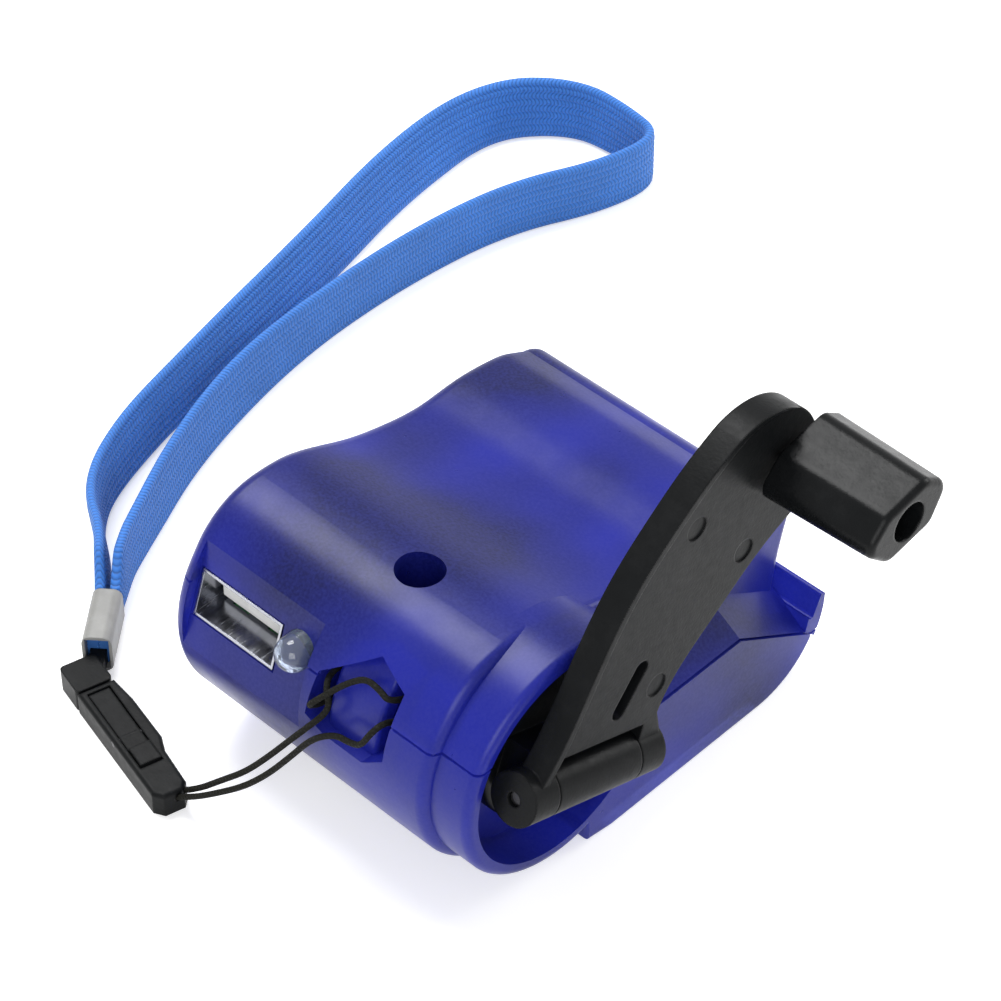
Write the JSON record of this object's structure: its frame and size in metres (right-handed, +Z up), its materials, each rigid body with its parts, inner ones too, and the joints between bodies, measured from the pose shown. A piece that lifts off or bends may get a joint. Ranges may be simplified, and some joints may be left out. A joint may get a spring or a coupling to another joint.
{
  "type": "hand crank phone charger",
  "caption": "Palm-size phone charger in a translucent two-part casing with a folding hand crank, a USB socket, a lamp and a wrist strap on a quick-release buckle.",
  "frame": {"origin": "middle of the flat face that the casing rests on", "axes": "+X along the crank axis towards the crank, -Y towards the end with the USB socket, +Z up"},
  "size_m": [0.1228, 0.1298, 0.0556],
  "materials": {
    "shell": "clear tinted, polished",
    "socket_metal": "bright sheet",
    "socket_insert": "satin",
    "contact_metal": "plated",
    "lamp": "clear",
    "wire_metal": "tinned",
    "board": "lacquered",
    "electronics": "moulded",
    "capacitor_sleeve": "sleeved",
    "gear_white": "natural nylon",
    "steel": "turned",
    "brass": "turned",
    "laminations": "stacked sheet",
    "copper_wire": "enamelled",
    "magnet": "sintered",
    "insulated_wire": "smooth",
    "black_plastic": "satin",
    "crimp_metal": "dull",
    "webbing": "woven",
    "black_cord": "braided"
  },
  "bodies": {
    "casing": {"upper_shell": "shell", "lower_shell": "shell", "top_screw": "steel", "rear_screws": "steel", "usb_shell": "socket_metal", "usb_tongue": "socket_insert", "usb_contacts": "contact_metal", "led_lens": "lamp", "led_leads": "wire_metal", "circuit_board": "board", "capacitor": "capacitor_sleeve", "rectifier_diodes": "electronics", "regulator_chip": "electronics", "gear_plate": "gear_white", "shaft_bush": "brass", "idler_axle": "steel", "generator_can": "steel", "generator_cap": "steel", "generator_bushes": "brass", "stator_plates": "laminations", "stator_coils": "copper_wire", "generator_wires": "insulated_wire", "strap_cord": "black_cord", "buckle_body": "black_plastic", "tongue_pin": "steel"},
    "crank": {"crank_hub": "black_plastic", "crank_shaft": "steel", "drive_gear": "gear_white", "hinge_pin": "steel"},
    "arm": {"crank_arm": "black_plastic", "knob_screw": "steel"},
    "knob": {"crank_knob": "black_plastic"},
    "idler": {"idler_gear": "gear_white"},
    "rotor": {"rotor_shaft": "steel", "rotor_magnet": "magnet", "rotor_pinion": "brass"},
    "tongue": {"release_tongue": "black_plastic"},
    "strap": {"buckle_socket": "black_plastic", "strap_crimp": "crimp_metal", "wrist_strap": "webbing"}
  },
  "joints": [
    {"name": "crank_spin", "type": "hinge", "parent": "casing", "child": "crank", "pos_m": [0.02, -0.021, 0.0184], "axis": [1, 0, 0], "continuous": true},
    {"name": "arm_fold", "type": "hinge", "parent": "crank", "child": "arm", "pos_m": [0.02585, -0.021, 0.0184], "axis": [0, 0.9426, -0.3338], "range_deg": [0, 180]},
    {"name": "knob_spin", "type": "hinge", "parent": "arm", "child": "knob", "pos_m": [0.036, 0.01061, 0.04636], "axis": [1, 0, 0], "continuous": true},
    {"name": "idler_spin", "type": "hinge", "parent": "casing", "child": "idler", "pos_m": [0.012, -0.00633, 0.01474], "axis": [1, 0, 0], "continuous": true},
    {"name": "rotor_spin", "type": "hinge", "parent": "casing", "child": "rotor", "pos_m": [0, 0.00676, 0.01383], "axis": [1, 0, 0], "continuous": true},
    {"name": "tongue_press", "type": "hinge", "parent": "casing", "child": "tongue", "pos_m": [-0.02547, -0.04385, 0.00275], "axis": [0.2501, 0.9682, 0], "range_deg": [0, 5], "stiffness_Nm_per_rad": 0.004},
    {"name": "buckle_release", "type": "slide", "parent": "casing", "child": "strap", "axis": [-0.9682, 0.2501, 0], "range_m": [0, 0.012]}
  ],
  "couplings": [
    {"joint": "idler_spin", "follows": "crank_spin", "ratio": -4},
    {"joint": "rotor_spin", "follows": "crank_spin", "ratio": 13.333}
  ]
}
